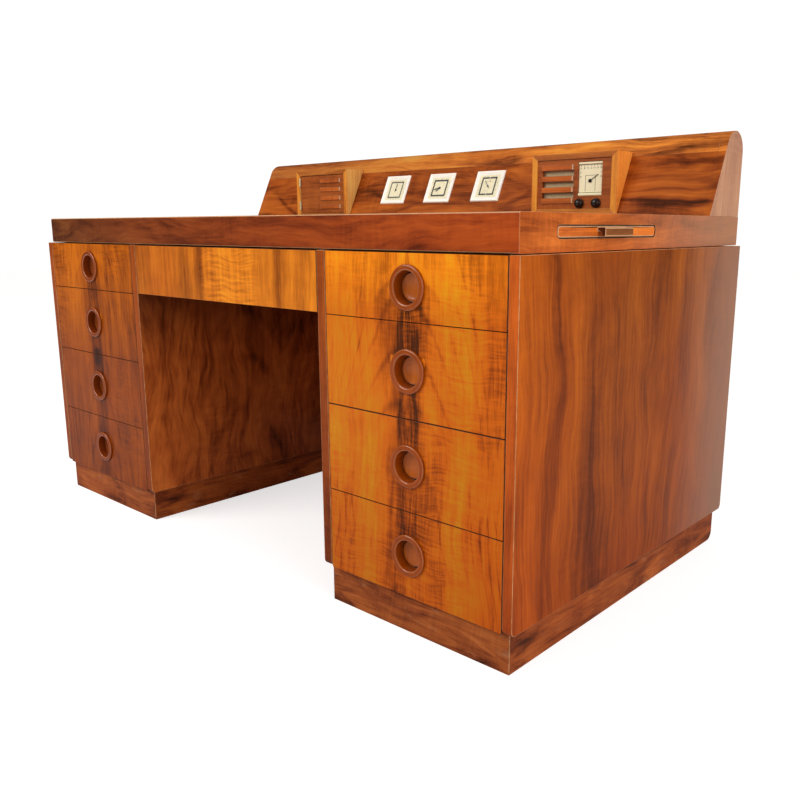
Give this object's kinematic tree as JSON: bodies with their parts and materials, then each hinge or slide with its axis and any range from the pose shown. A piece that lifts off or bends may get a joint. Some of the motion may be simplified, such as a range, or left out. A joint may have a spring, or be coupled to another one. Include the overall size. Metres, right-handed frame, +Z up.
{
  "type": "writing desk with drawers",
  "caption": "Twin-pedestal walnut writing desk with drawers on turned ring pulls, a pull-out writing slide, and a sloping back gallery with a cupboard, instruments and a radio.",
  "frame": {"origin": "on the floor, under the middle of the desk's bounding box", "axes": "+X to the sitter's right, +Y from the drawer fronts to the back, +Z up"},
  "size_m": [1.584, 0.856, 0.94],
  "materials": {
    "walnut_front": "satin lacquered walnut veneer, book-matched, vertical grain",
    "walnut_centre": "satin lacquered walnut veneer, golden, rippled figure",
    "walnut_side": "satin lacquered walnut veneer, vertical grain",
    "walnut_top": "satin lacquered walnut veneer, red-brown, swirling grain",
    "walnut_plinth": "dark scuffed walnut veneer",
    "walnut_gallery": "satin lacquered walnut veneer, red-brown, horizontal grain",
    "walnut_cap": "satin lacquered golden walnut veneer",
    "walnut_frame": "satin lacquered solid walnut, light",
    "pull_wood": "gloss lacquered turned wood",
    "drawer_wood": "plain oiled oak",
    "brass": "worn satin brass",
    "chrome_bezel": "polished chrome",
    "cream_enamel": "cream enamel, satin",
    "black_hand": "black enamel, satin",
    "bakelite": "dark brown polished bakelite",
    "chassis_steel": "plated steel",
    "grille_cloth": "woven loudspeaker cloth",
    "dial_glass": "clear flat glass"
  },
  "bodies": {
    "desk": {"left_outer_side": "walnut_side", "left_inner_side": "walnut_side", "left_back": "walnut_side", "left_runner_frame": "drawer_wood", "left_plinth": "walnut_plinth", "right_outer_side": "walnut_side", "right_inner_side": "walnut_side", "right_back": "walnut_side", "right_runner_frame": "drawer_wood", "right_plinth": "walnut_plinth", "modesty_panel": "walnut_side", "desktop": "walnut_top", "gallery_carcase": "walnut_side", "gallery_face": "walnut_gallery", "gallery_cap": "walnut_cap", "cabinet_case": "walnut_frame", "cabinet_hinge_upper": "brass", "cabinet_hinge_lower": "brass", "radio_case": "walnut_frame", "radio_panel": "walnut_gallery", "radio_dial": "cream_enamel", "radio_chassis": "chassis_steel", "thermometer_case": "chrome_bezel", "clock_case": "chrome_bezel", "barometer_case": "chrome_bezel"},
    "left_drawer_1": {"left_drawer_1_front": "walnut_front", "left_drawer_1_box": "drawer_wood", "left_drawer_1_pull": "pull_wood"},
    "left_drawer_2": {"left_drawer_2_front": "walnut_front", "left_drawer_2_box": "drawer_wood", "left_drawer_2_pull": "pull_wood"},
    "left_drawer_3": {"left_drawer_3_front": "walnut_front", "left_drawer_3_box": "drawer_wood", "left_drawer_3_pull": "pull_wood"},
    "left_drawer_4": {"left_drawer_4_front": "walnut_front", "left_drawer_4_box": "drawer_wood", "left_drawer_4_pull": "pull_wood"},
    "right_drawer_1": {"right_drawer_1_front": "walnut_front", "right_drawer_1_box": "drawer_wood", "right_drawer_1_pull": "pull_wood"},
    "right_drawer_2": {"right_drawer_2_front": "walnut_front", "right_drawer_2_box": "drawer_wood", "right_drawer_2_pull": "pull_wood"},
    "right_drawer_3": {"right_drawer_3_front": "walnut_front", "right_drawer_3_box": "drawer_wood", "right_drawer_3_pull": "pull_wood"},
    "right_drawer_4": {"right_drawer_4_front": "walnut_front", "right_drawer_4_box": "drawer_wood", "right_drawer_4_pull": "pull_wood"},
    "centre_drawer": {"centre_drawer_front": "walnut_centre", "centre_drawer_box": "drawer_wood"},
    "writing_slide": {"writing_slide": "walnut_frame"},
    "cabinet_door": {"cabinet_door": "walnut_gallery"},
    "volume_knob": {"volume_knob": "bakelite"},
    "tuning_knob": {"tuning_knob": "bakelite"},
    "radio_pointer": {"radio_pointer": "black_hand"},
    "minute_hand": {"minute_hand": "black_hand"},
    "hour_hand": {"hour_hand": "black_hand"},
    "thermometer_hand": {"thermometer_hand": "black_hand"},
    "barometer_hand": {"barometer_hand": "black_hand"}
  },
  "joints": [
    {"name": "left_drawer_1_slide", "type": "slide", "parent": "desk", "child": "left_drawer_1", "axis": [0, -1, 0], "range_m": [0, 0.55]},
    {"name": "left_drawer_2_slide", "type": "slide", "parent": "desk", "child": "left_drawer_2", "axis": [0, -1, 0], "range_m": [0, 0.55]},
    {"name": "left_drawer_3_slide", "type": "slide", "parent": "desk", "child": "left_drawer_3", "axis": [0, -1, 0], "range_m": [0, 0.55]},
    {"name": "left_drawer_4_slide", "type": "slide", "parent": "desk", "child": "left_drawer_4", "axis": [0, -1, 0], "range_m": [0, 0.55]},
    {"name": "right_drawer_1_slide", "type": "slide", "parent": "desk", "child": "right_drawer_1", "axis": [0, -1, 0], "range_m": [0, 0.55]},
    {"name": "right_drawer_2_slide", "type": "slide", "parent": "desk", "child": "right_drawer_2", "axis": [0, -1, 0], "range_m": [0, 0.55]},
    {"name": "right_drawer_3_slide", "type": "slide", "parent": "desk", "child": "right_drawer_3", "axis": [0, -1, 0], "range_m": [0, 0.55]},
    {"name": "right_drawer_4_slide", "type": "slide", "parent": "desk", "child": "right_drawer_4", "axis": [0, -1, 0], "range_m": [0, 0.55]},
    {"name": "centre_drawer_slide", "type": "slide", "parent": "desk", "child": "centre_drawer", "axis": [0, -1, 0], "range_m": [0, 0.42]},
    {"name": "writing_slide_pull", "type": "slide", "parent": "desk", "child": "writing_slide", "axis": [1, 0, 0], "range_m": [0, 0.33]},
    {"name": "cabinet_door_hinge", "type": "hinge", "parent": "desk", "child": "cabinet_door", "pos_m": [-0.5462, 0.2675, 0.836], "axis": [0, 0, -1], "range_deg": [0, 105]},
    {"name": "volume_knob_turn", "type": "hinge", "parent": "desk", "child": "volume_knob", "pos_m": [0.4605, 0.266, 0.7915], "axis": [0, 1, 0], "range_deg": [0, 300]},
    {"name": "tuning_knob_turn", "type": "hinge", "parent": "desk", "child": "tuning_knob", "pos_m": [0.505, 0.266, 0.7915], "axis": [0, 1, 0], "range_deg": [-584, 134]},
    {"name": "radio_pointer_turn", "type": "hinge", "parent": "desk", "child": "radio_pointer", "pos_m": [0.485, 0.274, 0.8423], "axis": [0, 1, 0], "range_deg": [-146, 33.5]},
    {"name": "minute_hand_turn", "type": "hinge", "parent": "desk", "child": "minute_hand", "pos_m": [-0.003, 0.30838, 0.84104], "axis": [0, 0.9106, -0.4133], "continuous": true},
    {"name": "hour_hand_turn", "type": "hinge", "parent": "desk", "child": "hour_hand", "pos_m": [-0.003, 0.30838, 0.84104], "axis": [0, 0.9106, -0.4133], "continuous": true},
    {"name": "thermometer_hand_turn", "type": "hinge", "parent": "desk", "child": "thermometer_hand", "pos_m": [-0.169, 0.30838, 0.84104], "axis": [0, 0.9106, -0.4133], "range_deg": [-110, 110]},
    {"name": "barometer_hand_turn", "type": "hinge", "parent": "desk", "child": "barometer_hand", "pos_m": [0.163, 0.30838, 0.84104], "axis": [0, 0.9106, -0.4133], "range_deg": [-120, 120]}
  ],
  "couplings": [
    {"joint": "radio_pointer_turn", "follows": "tuning_knob_turn", "ratio": 0.25},
    {"joint": "hour_hand_turn", "follows": "minute_hand_turn", "ratio": 0.083333}
  ]
}
